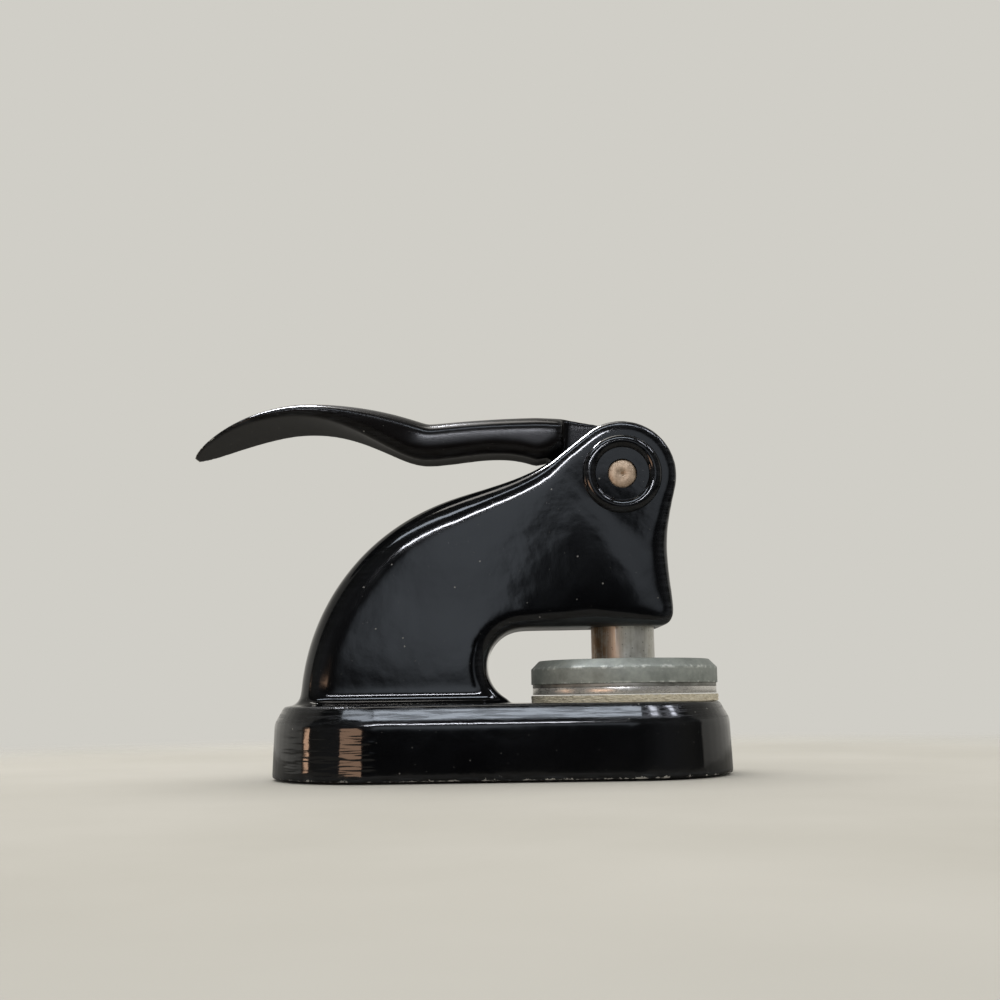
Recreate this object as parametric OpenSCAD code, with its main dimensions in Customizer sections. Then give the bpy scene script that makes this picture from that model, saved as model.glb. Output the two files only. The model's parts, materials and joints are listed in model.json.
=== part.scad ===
// Desk seal embosser: a cast iron frame with a clevis head, a thumb lever,
// and a ram that presses a round die onto a counter board on the base.
// The origin is the middle of the underside; +X points to the die end, +Z up.

/* [Base] */
// Length of the base over its two round ends
base_l = 102; // [90:1:130]
// Width of the base at its lower edge
base_w = 49; // [46:0.5:60]
// Height of the top of the base above the surface it stands on
base_h = 16; // [13:0.5:22]
// How far the draft draws the wall in, from the lower edge to the chamfer
base_draft = 0.4; // [0:0.1:1]
// Height of the chamfer round the top of the base
chamfer_h = 3.8; // [2:0.1:5]
// Inward reach of the same chamfer
chamfer_in = 2.1; // [1:0.1:3]

/* [Base pad] */
// Thickness of the rubber pad
pad_t = 2; // [1:0.1:3]
// How far the pad stands out below the casting
pad_proud = 0.4; // [0.2:0.1:0.8]
// Rim of casting left round the pad
pad_rim = 2; // [1:0.1:4]

/* [Neck and head] */
// Distance from the front end of the base back to the ram's axis
axis_inset = 23.5; // [22.5:0.5:26]
// Distance from the rear end of the base to the back of the neck
neck_inset = 6.6; // [4:0.2:10]
// Clear height of the throat between base and head
throat_h = 16.4; // [14:0.2:19]
// Reach of the throat behind the ram's axis
throat_depth = 30.6; // [28:0.2:33]
// Width of the head
head_w = 21; // [19:0.5:24]
// Width of the neck where it leaves the base
neck_w = 23.4; // [21:0.5:26]
// Height of the lever pin above the top of the base
pin_rise = 50.1; // [48:0.1:56]
// Radius of the ears round the lever pin
ear_r = 12.3; // [11.5:0.1:13.5]
// Distance from the ram's axis to the front of the head at its waist
front_reach = 9.8; // [9:0.1:12]
// Extra reach of the lip at the foot of the head
lip_reach = 0.8; // [0:0.1:2]
// Radius of the fillet between neck and base
root_r = 2.6; // [1:0.1:4]
// Edge rounding down the back of the neck
back_round = 6.2; // [3:0.1:7]
// Edge rounding round the ears
ear_round = 1.2; // [0.6:0.1:2]
// Edge rounding of the throat wall
throat_round = 2.4; // [1:0.1:4]
// Edge rounding of the head above the throat
ceiling_round = 4.2; // [2:0.1:5]

/* [Pin boss] */
// Outer radius of the raised ring round the pin
ring_r = 8.8; // [7.5:0.1:9.5]
// Width of the raised ring
ring_w = 2.9; // [2:0.1:3.5]
// Height of the raised ring above the ear
ring_h = 1.3; // [0.5:0.1:2]

/* [Lever] */
// Distance from the lever pin to the tip of the thumb piece
lever_l = 97.5; // [85:1:110]
// Length of the thumb piece, from its tip to the hollow in front of it
thumb_l = 53.9; // [48:0.1:60]
// Width of the thumb piece
thumb_w = 25; // [20:0.5:30]
// Width of the lever's bar
bar_w = 13; // [11:0.5:15]
// Thickness of the tongue between the ears
tongue_t = 5.9; // [5:0.1:7]
// Rise of the crown across the lever's upper side
crown = 2.2; // [1:0.1:3]
// Radius of the hub round the pin
hub_r = 12; // [11:0.1:12.3]
// Height of the top of the thumb piece above the pin
thumb_rise = 18.2; // [15:0.1:22]
// Height of the hollow in front of the thumb piece above the pin
dip_rise = 13.8; // [13:0.1:14.6]
// Thickness of the thumb piece at its top
thumb_t = 4.2; // [3:0.1:5]
// Depth of the bar below the hollow
bar_t = 9.1; // [8:0.1:10]
// How far the lever swings up
lever_swing = 50; // [30:1:50]

/* [Cam and ram] */
// Diameter of the lever pin
lever_pin_d = 6.35; // [5:0.05:7]
// Diameter of the ram
ram_d = 14.2; // [13.5:0.1:15]
// Diameter of the cross pin that follows the cam slot
cross_pin_d = 3; // [2.5:0.1:3.4]
// Distance from the lever pin down to the cross pin, die closed
cam_r = 12.6; // [12.2:0.1:13]
// Lift of the ram for a turn of one radian of the lever
cam_lift = 4.8; // [4:0.1:5]
// Wall of the cam outside its slot
cam_wall = 2.2; // [1.6:0.1:2.6]
// Radius of the spacers on the lever pin
spacer_r = 4.8; // [4.2:0.1:5]

/* [Die and counter] */
// Diameter of the die holder
holder_d = 41.6; // [38:0.2:42]
// Thickness of the die holder
holder_t = 5.2; // [4.6:0.1:6]
// Chamfer round the top of the die holder
holder_chamfer = 1.8; // [0.5:0.1:2.4]
// Depth of the ram's seat in the die holder
spigot = 1.5; // [1:0.1:2]
// Diameter of the screw that holds the die holder to the ram
screw_d = 5; // [4:0.5:6]
// Diameter of its countersunk head
screw_head_d = 10; // [9:0.5:11]
// Length of the screw over its head
screw_l = 14; // [12:0.5:18]
// Thickness of the backing disc between holder and die
backing_t = 0.8; // [0.5:0.1:1.2]
// Thickness of the die
die_t = 1.45; // [1:0.05:2]
// How far the die and its backing lie inside the edge of the holder
die_inset = 0.3; // [0.1:0.05:2]
// Thickness of the counter board
board_t = 1.5; // [1:0.1:2]
// Diameter of the counter board
board_d = 41.8; // [38:0.2:42]
// Gap left between die and counter board when closed
die_gap = 0.2; // [0.1:0.05:0.4]
// Distance of the locating dowels from the ram's axis
dowel_pitch = 15; // [12:0.5:17]
// Diameter of the locating dowels
dowel_d = 2.4; // [2:0.1:3]
// Depth of a dowel's seat in the base and in the die holder
dowel_seat = 2; // [1.5:0.1:3]

/* [Clearances] */
// Radial clearance of turning and sliding fits
run_clear = 0.06; // [0.02:0.01:0.1]
// Radial clearance of pins and dowels in their seats
seat_clear = 0.02; // [0.01:0.01:0.05]
// Side clearance of the tongue in its slots
side_clear = 0.15; // [0.1:0.05:0.3]

/* [Hidden] */

round_fn = 96;     // facets of exact round parts, as a preview shows them
wall_fn = 64;      // facets of the base's walls, all round
edge_steps = 5;    // steps in each rounded edge of the castings
past = 1;          // how far a cut runs past the face that it opens
slack = 0.2;       // room left at the end of a blind seat
rub_gap = 0.4;     // room between parts that pass each other inside the head
sunk = 6;          // how deep the neck runs down into the base

axis_x = base_l / 2 - axis_inset;
pin_z = base_h + pin_rise;
ceiling_z = base_h + throat_h;
throat_r = throat_h / 2;
throat_x = axis_x - throat_depth + throat_r;
neck_x = neck_inset - base_l / 2;

slot_w = tongue_t + 2 * side_clear;
slot_half = cross_pin_d / 2 + run_clear;
cam_end = 1.5;                                      // spare angle at each end of the cam slot
lobe_r = cam_r + slot_half + cam_wall;
slot_r = lobe_r + 2 * rub_gap;                      // reach of the slot that is milled in the head
cross_z = pin_z - cam_r;
ram_lift = cam_lift * lever_swing * PI / 180;
fork_top = pin_z - spacer_r - rub_gap - ram_lift;   // top of the ram's two cheeks
fork_floor = pin_z - lobe_r - 4 * rub_gap;          // floor of the slot between them

board_z = base_h;
die_z = board_z + board_t + die_gap;
backing_z = die_z + die_t;
holder_z = backing_z + backing_t;
holder_top = holder_z + holder_t;
ram_z = holder_top - spigot;
die_d = holder_d - 2 * die_inset;

// ---- curves ----

function bezier(a, b, c, d, n) = [for (i = [1:n]) let (t = i / n, s = 1 - t)
    s * s * s * a + 3 * s * s * t * b + 3 * s * t * t * c + t * t * t * d];
function straight(a, b, n) = [for (i = [1:n]) a + (b - a) * i / n];
function arc(centre, r, from, to, n) = [for (i = [1:n])
    let (a = from + (to - from) * i / n) centre + r * [cos(a), sin(a)]];
function smooth(t) = let (s = min(1, max(0, t))) s * s * (3 - 2 * s);
function back_to_front(list) = [for (i = [len(list) - 1:-1:0]) list[i]];

// ---- skin of a casting: rings of equal length, closed at both ends ----

function ring_faces(rings, points) = [for (k = [0:rings - 2], i = [0:points - 1])
    let (j = (i + 1) % points, a = k * points, b = a + points)
    each [[a + i, b + i, b + j], [a + i, b + j, a + j]]];

// ---- neck and head ----

ear_c = [axis_x, pin_z];
ear_back = 128;        // where the neck runs into the ears, as an angle round the pin
ear_front = -15;       // where the front of the head runs into them
ear_top = 50;
lip_h = 4.2;           // height of the lip over the throat
lip_round = 1.4;       // edge rounding round the lip
foot_angle = 244;      // where the throat's curve ends on the base
taper_drop = 18;       // how far below the pin the head starts to widen into the neck
neck_foot = [neck_x, base_h];
neck_span = axis_x - neck_x;
shoulder = [neck_x + 0.4645 * neck_span, pin_z - 4.4];
crest = ear_c + (ear_r + 2.8) * [cos(162.3), sin(162.3)];
back_rise = shoulder[1] - base_h;
crest_run = crest[0] - shoulder[0];
front_x = axis_x + front_reach;
lip = [front_x + lip_reach, ceiling_z + lip_h];
waist = [front_x, pin_z - 4 / 3 * ear_r];

ear_back_point = ear_c + ear_r * [cos(ear_back), sin(ear_back)];
ear_front_point = ear_c + ear_r * [cos(ear_front), sin(ear_front)];
throat_c = [throat_x, base_h + throat_r];
throat_foot = throat_c + throat_r * [cos(foot_angle), sin(foot_angle)];
ceiling_end = [front_x - 1.6, ceiling_z];

back_chain = concat(
    [[neck_x, base_h - sunk], neck_foot],
    bezier(neck_foot, neck_foot + [0.3, 0.46 * back_rise],
        shoulder - 0.3 * neck_span * [cos(18.8), sin(18.8)], shoulder, 20),
    bezier(shoulder, shoulder + crest_run / 3 * [cos(17), sin(17)],
        crest - crest_run / 3 * [cos(38), sin(38)], crest, 12),
    [ear_back_point],
    arc(ear_c, ear_r, ear_back, ear_top, 14));
front_chain = concat(
    [[throat_foot[0], base_h - sunk], throat_foot],
    arc(throat_c, throat_r, foot_angle, 90, 18),
    straight([throat_x, ceiling_z], ceiling_end, 6),
    bezier(ceiling_end, ceiling_end + [1.6, 0], lip + [0.2, -lip_h / 2], lip, 6),
    bezier(lip, lip + [-0.2, lip_h], waist - [0, 5], waist, 4),
    bezier(waist, waist + [0, 4.6], ear_front_point + [-0.9, -3.4], ear_front_point, 4),
    arc(ear_c, ear_r, ear_front, ear_top, 9));
back_rounds = concat([back_round, back_round], straight(back_round, back_round, 20),
    straight(back_round, 2, 12), [1.6], straight(1.5, ear_round, 14));
front_rounds = concat([throat_round, throat_round], straight(throat_round, throat_round, 18),
    straight(throat_round, ceiling_round, 3), straight(ceiling_round, lip_round, 3),
    straight(lip_round, lip_round, 6), straight(lip_round, 2.8, 4), straight(2.8, ear_round, 4),
    straight(ear_round, ear_round, 9));

side_outline = concat(back_chain, back_to_front([for (i = [0:len(front_chain) - 2]) front_chain[i]]));
side_rounds = concat(back_rounds, back_to_front([for (i = [0:len(front_rounds) - 2]) front_rounds[i]]));

function normal(a, b) = [b[1] - a[1], a[0] - b[0]] / norm(b - a);
// Step from a point of the outline to the same corner of the outline set in by one millimetre
function inward(outline, i) = let (n = len(outline),
    u = normal(outline[max(i - 1, 0)], outline[max(i, 1)]),
    v = normal(outline[min(i, n - 2)], outline[min(i + 1, n - 1)])) (u + v) / (1 + u * v);
function half_width(z) = head_w / 2
    + (neck_w - head_w) / 2 * smooth((pin_z - taper_drop - z) / (0.64 * pin_rise));
function side_ring(side, a) = [for (i = [0:len(side_outline) - 1])
    let (r = side_rounds[i], p = side_outline[i] + r * (1 - cos(a)) * inward(side_outline, i))
    [p[0], side * (half_width(p[1]) - r + r * sin(a)), p[1]]];

// The side faces are closed by a ladder of triangles between the two chains.
function ladder(first, n, flip) = [for (i = [0:n - 2])
    let (a = first + i, b = a + 1, q = 2 * n - 2, c = first + (q - i) % (q + 1), d = first + (q - i - 1))
    each (i == n - 2 ? [flip ? [a, b, c] : [a, c, b]]
                     : flip ? [[a, b, d], [a, d, c]] : [[a, d, b], [a, c, d]])];

module neck_and_head() {
    angles = [for (k = [0:edge_steps]) 90 * k / edge_steps];
    rings = concat([for (a = back_to_front(angles)) side_ring(-1, a)], [for (a = angles) side_ring(1, a)]);
    n = len(back_chain);
    points = len(side_outline);
    polyhedron(
        points = [for (r = rings) each r],
        faces = concat(ring_faces(len(rings), points),
                       ladder(0, n, true),
                       ladder((len(rings) - 1) * points, n, false)),
        convexity = 8);
}

// Concave fillet where the neck stands on the base, as a stack of rounded outlines
module root_fillet() {
    steps = 5;
    corner = back_round;
    tight = 3;         // corner radius at the throat
    half = half_width(base_h);
    front = throat_x - throat_r + 2;
    back = neck_x + 0.1;
    corners = [[front - tight, half - tight, tight, 0], [back + corner, half - corner, corner, 90],
               [back + corner, corner - half, corner, 180], [front - tight, tight - half, tight, 270]];
    function outline(grow, z) = [for (c = corners, a = [0:15:90])
        [c[0] + (c[2] + grow) * cos(c[3] + a), c[1] + (c[2] + grow) * sin(c[3] + a), z]];
    rings = concat([outline(root_r, base_h - 1)],
        [for (k = [0:steps]) let (a = 90 * k / steps)
            outline(root_r * (1 - sin(a)) - 0.02, base_h + root_r * (1 - cos(a)))]);
    points = len(rings[0]);
    polyhedron(
        points = [for (r = rings) each r],
        faces = concat(ring_faces(len(rings), points),
                       [[for (i = [0:points - 1]) i]],
                       [[for (i = [points - 1:-1:0]) (len(rings) - 1) * points + i]]),
        convexity = 4);
}

// ---- shared shapes ----

// Block with two round ends, drawn in by a draft towards its top
module round_ended(l, w, h, draft) {
    hull()
        for (x = [-0.5, 0.5] * (l - w))
            translate([x, 0, 0])
                cylinder(h = h, r1 = w / 2, r2 = w / 2 - draft, $fn = wall_fn);
}

module across(r, half) {
    rotate([90, 0, 0])
        cylinder(h = 2 * half, r = r, center = true, $fn = round_fn);
}

module at_pin() {
    translate([axis_x, 0, pin_z])
        children();
}

module at_axis(z) {
    translate([axis_x, 0, z])
        children();
}

module at_dowels() {
    for (y = [-1, 1] * dowel_pitch)
        translate([0, y, 0])
            children();
}

module dowel_holes(depth) {
    at_dowels()
        cylinder(h = depth, r = dowel_d / 2 + seat_clear, $fn = round_fn);
}

// ---- frame ----

module ear_ring() {
    middle = ring_r - ring_w / 2;
    rotate([90, 0, 0])
        rotate_extrude($fn = round_fn)
            polygon(concat([[middle + ring_w / 2, -past], [middle - ring_w / 2, -past]],
                [for (a = [180:-15:0]) [middle + ring_w / 2 * cos(a), ring_h * sin(a)]]));
}

module base_block() {
    wall_h = base_h - chamfer_h;
    inner = 2 * base_draft;
    translate([0, 0, pad_proud])
        round_ended(base_l, base_w, wall_h - pad_proud, base_draft);
    translate([0, 0, wall_h])
        round_ended(base_l - inner, base_w - inner, chamfer_h, chamfer_in);
}

module frame() {
    color("#16171a")
        difference() {
            union() {
                base_block();
                root_fillet();
                neck_and_head();
                for (side = [0, 180])
                    at_pin()
                        rotate([0, 0, side])
                            translate([0, -head_w / 2, 0])
                                ear_ring();
            }
            at_pin() across(lever_pin_d / 2 + seat_clear, head_w);
            at_pin() across(slot_r, slot_w / 2);
            at_axis(ceiling_z - past)
                cylinder(h = pin_z + spacer_r + rub_gap - ceiling_z + past, r = ram_d / 2 + run_clear,
                    $fn = round_fn);
            pad_seat(pad_rim, pad_t);
            at_axis(board_z - dowel_seat)
                dowel_holes(dowel_seat + past);
        }
}

// ---- base pad ----

module pad_seat(rim, top) {
    round_ended(base_l - 2 * rim, base_w - 2 * rim, top, 0);
}

module base_pad() {
    color("#2b2b2a")
        pad_seat(pad_rim + slack, pad_t);
}

// ---- lever ----

// Outlines of the upper and the under side, as [along, up] from the pin. The bar ends in a step
// that lies round the ears.
tip = [-lever_l, 5.9];
nose_l = 18;               // length of the rounding of the thumb piece's tip
thumb_run = thumb_l / 2;
thumb_top = [thumb_run - lever_l, thumb_rise];
thumb_under = thumb_top - [1.5, thumb_t];
dip = [thumb_l - lever_l, dip_rise];
dip_under = dip - [0.4, bar_t];
bar_end = [-ear_r - 6.2, dip_rise + 1.25];
bar_end_under = (ear_r + 6.9) * [cos(166.8), sin(166.8)];
step = [-ear_r - 0.4, dip_rise + 0.9];
step_under = (ear_r + 2.5) * [cos(151.3), sin(151.3)];
step_knee = (ear_r + 4.3) * [cos(162.4), sin(162.4)];
bar_run = bar_end[0] - dip[0];
under_hollow = 0.06;       // hollow of the lever's underside, as a share of its thickness

top_chain = concat([tip + [-0.1, 0.5]],
    bezier(tip + [-0.1, 0.5], tip + thumb_run * [0.19, 0.19], thumb_top - [0.36 * thumb_run, 0],
        thumb_top, 16),
    bezier(thumb_top, thumb_top + [0.49 * thumb_run, 0], dip - thumb_run * [0.3, -0.1], dip, 12),
    bezier(dip, dip + [0.13 * bar_run, 0.1], bar_end - [0.52 * bar_run, 0.1], bar_end, 10),
    straight(bar_end, step, 3));
under_chain = concat([tip],
    bezier(tip, tip + thumb_run * [0.28, 0.17], thumb_under - [0.35 * thumb_run, 0], thumb_under, 16),
    bezier(thumb_under, thumb_under + [0.46 * thumb_run, 0], dip_under - [0.25 * thumb_run, 0],
        dip_under, 12),
    bezier(dip_under, dip_under + [0.34 * bar_run, 0], bar_end_under - [0.35 * bar_run, -3.5],
        bar_end_under, 10),
    straight(bar_end_under, step_knee, 1), straight(step_knee, step_under, 2));

function lever_half(x) = let (nose = min(1, (x + lever_l + 0.4) / nose_l),
    waist = smooth((x - thumb_top[0]) / thumb_run))
    thumb_w / 2 * sqrt(1 - pow(1 - nose, 2)) * (1 - waist) + bar_w / 2 * waist;
// Half of a section, from its hollowed underside up to its crest, as [sideways, upwards]
function section_half(w, t) = let (low = min(2.6, t * 0.3, w / 2), high = min(0.9, t * 0.12, w / 3),
    rise = min(crown, t * 0.5, w * 0.35), edge = t - rise)
    concat([for (f = [0, 0.45, 0.8]) [(w - low) * f, t * under_hollow * (1 - f * f)]],
           [for (a = [0:30:90]) [w - low + low * sin(a), low - low * cos(a)]],
           [[w, edge - high], [w - high * 0.25, edge - high * 0.25]],
           [for (f = [0.82, 0.6, 0.36, 0.16]) [w * f, edge + rise * (1 - f * f)]]);
function section(i) = let (a = under_chain[i], b = top_chain[i], t = norm(b - a), up = (b - a) / t,
    half = section_half(lever_half((a[0] + b[0]) / 2), t),
    loop = concat(half, [[0, t]], [for (k = [len(half) - 1:-1:1]) [-half[k][0], half[k][1]]]))
    [for (p = loop) let (q = a + up * p[1]) [q[0], p[0], q[1]]];

module lever_bar() {
    rings = [for (i = [0:len(top_chain) - 1]) section(i)];
    points = len(rings[0]);
    last = (len(rings) - 1) * points;
    polyhedron(
        points = [for (r = rings) each r],
        faces = concat(ring_faces(len(rings), points),
            section_cap(0, points, true), section_cap(last, points, false)),
        convexity = 6);
}

// An end of the bar, closed by a ladder of triangles from side to side
function section_cap(first, points, flip) = let (half = points / 2) [for (i = [0:half - 1])
    let (a = first + i, b = a + 1, c = first + (points - i) % points, d = first + points - i - 1)
    each (i == 0 ? [flip ? [a, b, d] : [a, d, b]]
        : i == half - 1 ? [flip ? [a, b, c] : [a, c, b]]
        : flip ? [[a, b, c], [b, d, c]] : [[a, c, b], [b, c, d]])];

function cam_radius(a) = cam_r - cam_lift * a * PI / 180;
function cam_point(a) = cam_radius(a) * [sin(a), -cos(a)];
function cam_normal(a) = let (r = cam_radius(a),
    d = [-cam_lift * sin(a) + r * cos(a), cam_lift * cos(a) + r * sin(a)]) [d[1], -d[0]] / norm(d);

module cam_slot() {
    from = -cam_end;
    to = lever_swing + cam_end;
    turn = [for (i = [0:24]) from + (to - from) * i / 24];
    polygon(concat([for (a = turn) cam_point(a) + slot_half * cam_normal(a)],
                   [for (a = back_to_front(turn)) cam_point(a) - slot_half * cam_normal(a)]));
    for (a = [from, to])
        translate(cam_point(a))
            circle(r = slot_half, $fn = round_fn);
}

module tongue_outline() {
    circle(r = hub_r, $fn = round_fn);
    polygon(concat([[0, 0], (hub_r + 0.2) * [cos(218), sin(218)]],
        [for (a = [-12:4:lever_swing + 12]) let (r = min(lobe_r, lobe_r - cam_lift * a * PI / 180))
            r * [sin(a), -cos(a)]]));
    polygon([step_knee + [0.1, 0.1], bar_end_under + [0.3, 3.6], [bar_end_under[0] + 0.3, dip_rise - 1.3],
             step - [0, 0.3], [-hub_r / 3, hub_r + 0.6], [0, hub_r], [0, -0.67 * hub_r],
             (hub_r + 0.1) * [cos(210.8), sin(210.8)]]);
}

module lever() {
    color("#16171a")
        at_pin()
            difference() {
                union() {
                    lever_bar();
                    rotate([90, 0, 0])
                        linear_extrude(height = tongue_t, center = true)
                            tongue_outline();
                }
                across(lever_pin_d / 2 + run_clear, head_w);
                rotate([90, 0, 0])
                    linear_extrude(height = head_w, center = true)
                        cam_slot();
            }
}

// ---- pins ----

module lever_pin() {
    r = lever_pin_d / 2;
    half = head_w / 2 + 0.1;
    bevel = 0.3;
    dot = 0.5;           // radius and depth of the centre mark in each end
    color("#8a6f55")
        at_pin()
            rotate([90, 0, 0])
                rotate_extrude($fn = round_fn)
                    polygon([[0, dot - half], [dot, -half], [r - bevel, -half], [r, bevel - half],
                             [r, half - bevel], [r - bevel, half], [dot, half], [0, half - dot]]);
}

module lever_spacers() {
    inner = lever_pin_d / 2 + run_clear;
    t = sqrt(pow(ram_d / 2, 2) - pow(spacer_r, 2)) - slot_w / 2;
    color("#a8a9ab")
        at_pin()
            for (side = [-1, 1])
                translate([0, side * (slot_w / 2 + t / 2), 0])
                    difference() {
                        across(spacer_r, t / 2);
                        across(inner, t);
                    }
}

module ram_cross_pin() {
    color("#b4b5b7")
        translate([axis_x, 0, cross_z])
            across(cross_pin_d / 2, ram_d / 2 - 3 * slack);
}

// ---- ram ----

module ram() {
    color("#8d8880")
        difference() {
            at_axis(ram_z)
                cylinder(h = fork_top - ram_z, d = ram_d, $fn = round_fn);
            at_axis(fork_floor)
                translate([-ram_d, -slot_w / 2, 0])
                    cube([2 * ram_d, slot_w, fork_top - fork_floor + past]);
            translate([axis_x, 0, cross_z])
                across(cross_pin_d / 2 + seat_clear, ram_d);
            at_axis(ram_z - past)
                cylinder(h = past + screw_l - holder_t + spigot + slack, r = screw_d / 2 + seat_clear,
                    $fn = round_fn);
        }
}

// ---- die and what holds it ----

module die_holder() {
    r = holder_d / 2;
    edge = 0.3;
    color("#7d807f")
        difference() {
            at_axis(holder_z)
                rotate_extrude($fn = round_fn)
                    polygon([[0, 0], [r - edge, 0], [r, edge], [r, holder_t - holder_chamfer],
                             [r - holder_chamfer, holder_t], [0, holder_t]]);
            at_axis(ram_z)
                cylinder(h = spigot + past, r = ram_d / 2 + seat_clear, $fn = round_fn);
            screw_form(seat_clear);
            at_axis(holder_z - past)
                dowel_holes(past + dowel_seat);
        }
}

// Countersunk screw, its head flush with the underside of the holder
module screw_form(grow) {
    head = screw_head_d / 2;
    shank = screw_d / 2;
    rim = 0.4;
    at_axis(holder_z)
        rotate_extrude($fn = round_fn)
            polygon([[0, -grow], [head + grow, -grow], [head + grow, rim], [shank + grow, head - shank + rim],
                     [shank + grow, screw_l], [0, screw_l]]);
}

module die_holder_screw() {
    slit = [2 * screw_head_d, 1.2, past + 1.2];
    color("#9a9b9d")
        difference() {
            screw_form(0);
            at_axis(holder_z - past)
                translate([-slit[0] / 2, -slit[1] / 2, 0])
                    cube(slit);
        }
}

module die_disc(z, d, t) {
    difference() {
        at_axis(z)
            cylinder(h = t, d = d, $fn = round_fn);
        at_axis(z - past)
            dowel_holes(t + 2 * past);
    }
}

module die_backing() {
    color("#6f7272")
        die_disc(backing_z, die_d, backing_t);
}

module die() {
    color("#c9c9c6")
        die_disc(die_z, die_d, die_t);
}

module dowel_pair(from, to) {
    color("#b4b5b7")
        at_axis(from)
            at_dowels()
                cylinder(h = to - from, d = dowel_d, $fn = round_fn);
}

module die_dowels() {
    dowel_pair(die_z + slack, holder_z + dowel_seat - slack);
}

module counter_board() {
    color("#b9a777")
        die_disc(board_z, board_d, board_t);
}

module counter_dowels() {
    dowel_pair(board_z - dowel_seat + slack, board_z + board_t - slack);
}

frame();
lever();
lever_pin();
lever_spacers();
ram();
ram_cross_pin();
die_holder();
die_holder_screw();
die_backing();
die();
die_dowels();
counter_board();
counter_dowels();
base_pad();
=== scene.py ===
import json
import math

import bpy
import numpy as np
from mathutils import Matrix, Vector

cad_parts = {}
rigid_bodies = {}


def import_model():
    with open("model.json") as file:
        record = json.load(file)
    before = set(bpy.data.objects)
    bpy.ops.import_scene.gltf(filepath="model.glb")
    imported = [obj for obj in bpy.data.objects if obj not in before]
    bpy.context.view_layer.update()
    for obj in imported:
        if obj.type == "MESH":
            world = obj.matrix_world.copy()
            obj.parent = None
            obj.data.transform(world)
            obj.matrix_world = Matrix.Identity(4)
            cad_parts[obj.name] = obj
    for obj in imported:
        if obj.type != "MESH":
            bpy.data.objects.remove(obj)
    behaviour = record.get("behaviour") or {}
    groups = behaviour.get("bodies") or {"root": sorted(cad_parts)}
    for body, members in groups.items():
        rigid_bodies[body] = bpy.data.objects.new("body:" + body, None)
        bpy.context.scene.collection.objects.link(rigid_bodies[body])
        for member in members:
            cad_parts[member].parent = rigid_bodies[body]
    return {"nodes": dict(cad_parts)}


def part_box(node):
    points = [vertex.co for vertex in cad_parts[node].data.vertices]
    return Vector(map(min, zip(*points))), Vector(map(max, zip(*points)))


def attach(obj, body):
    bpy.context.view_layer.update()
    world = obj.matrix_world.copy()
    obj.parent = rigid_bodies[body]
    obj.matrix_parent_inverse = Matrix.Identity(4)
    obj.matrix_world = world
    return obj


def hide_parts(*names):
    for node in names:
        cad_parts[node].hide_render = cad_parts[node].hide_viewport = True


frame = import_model()
bpy.ops.object.select_all(action="DESELECT")
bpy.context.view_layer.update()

mm = 0.001
mergeWithin = 0.002 * mm                # a CAD mesh comes as loose triangles
softLevels = 20                         # steps from hard to soft in a vertex group
smoothAngle = math.radians(32)          # sharper edges stay sharp in the shading

# places taken from the frame
pinLow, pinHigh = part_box("lever_pin")
pinCentre = (pinLow + pinHigh) / 2
holderLow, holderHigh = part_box("die_holder")
axisX = (holderLow.x + holderHigh.x) / 2
boardLow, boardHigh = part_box("counter_board")
baseTop = boardLow.z


def onlySelect(obj):
    bpy.ops.object.select_all(action="DESELECT")
    obj.select_set(True)
    bpy.context.view_layer.objects.active = obj


def applyModifier(obj, kind, **settings):
    onlySelect(obj)
    bpy.ops.object.modifier_add(type=kind)
    modifier = obj.modifiers[-1]
    for key, value in settings.items():
        setattr(modifier, key, value)
    bpy.ops.object.modifier_apply(modifier=modifier.name)


def bevelCorners(obj, width, segments, sharpest):
    # only the corners that turn by more than an angle
    applyModifier(obj, "BEVEL", width=width, segments=segments, limit_method="ANGLE",
                  angle_limit=math.radians(sharpest))


def freeze(obj, name):
    # the place goes into the mesh
    onlySelect(obj)
    bpy.ops.object.transform_apply(location=True, rotation=True, scale=True)
    obj.name = name
    obj.data.name = name
    return obj


def nodeCopy(node, name):
    # a merged copy of a CAD node, for the piece that stands for it
    onlySelect(frame["nodes"][node])
    bpy.ops.object.duplicate()
    obj = bpy.context.active_object
    bpy.ops.object.parent_clear(type="CLEAR_KEEP_TRANSFORM")
    for key in list(obj.keys()):
        del obj[key]
    obj.name = name
    obj.data.name = name
    bpy.ops.object.mode_set(mode="EDIT")
    bpy.ops.mesh.select_all(action="SELECT")
    bpy.ops.mesh.remove_doubles(threshold=mergeWithin)
    bpy.ops.object.mode_set(mode="OBJECT")
    return obj


def pick(obj, mode, test):
    # selects the faces or edges that pass a test, and stays in edit mode
    onlySelect(obj)
    bpy.ops.object.mode_set(mode="EDIT")
    bpy.ops.mesh.select_mode(type=mode)
    bpy.ops.mesh.select_all(action="DESELECT")
    bpy.ops.object.mode_set(mode="OBJECT")
    for part in obj.data.polygons if mode == "FACE" else obj.data.edges:
        part.select = test(part)
    bpy.ops.object.mode_set(mode="EDIT")


def heightsOf(obj, edge):
    # its lower end and its higher end
    return sorted(obj.data.vertices[i].co.z for i in edge.vertices)


def step01(value, low, high):
    t = np.clip((value - low) / (high - low), 0, 1)
    return t * t * (3 - 2 * t)


def softGroup(obj, softness):
    # softness gives 0 to 1 for points in millimetres
    co = np.zeros(len(obj.data.vertices) * 3)
    obj.data.vertices.foreach_get("co", co)
    levels = np.round(softness(co.reshape(-1, 3) / mm) * softLevels).astype(int)
    group = obj.vertex_groups.new(name="soft")
    for level in range(1, softLevels + 1):
        picked = np.nonzero(levels == level)[0]
        if len(picked):
            group.add(picked.tolist(), level / softLevels, "REPLACE")


# which faces count as looking down, from the slope at which it starts
undersideSlope = {"from": 0.25, "fade": 0.4}


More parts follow.
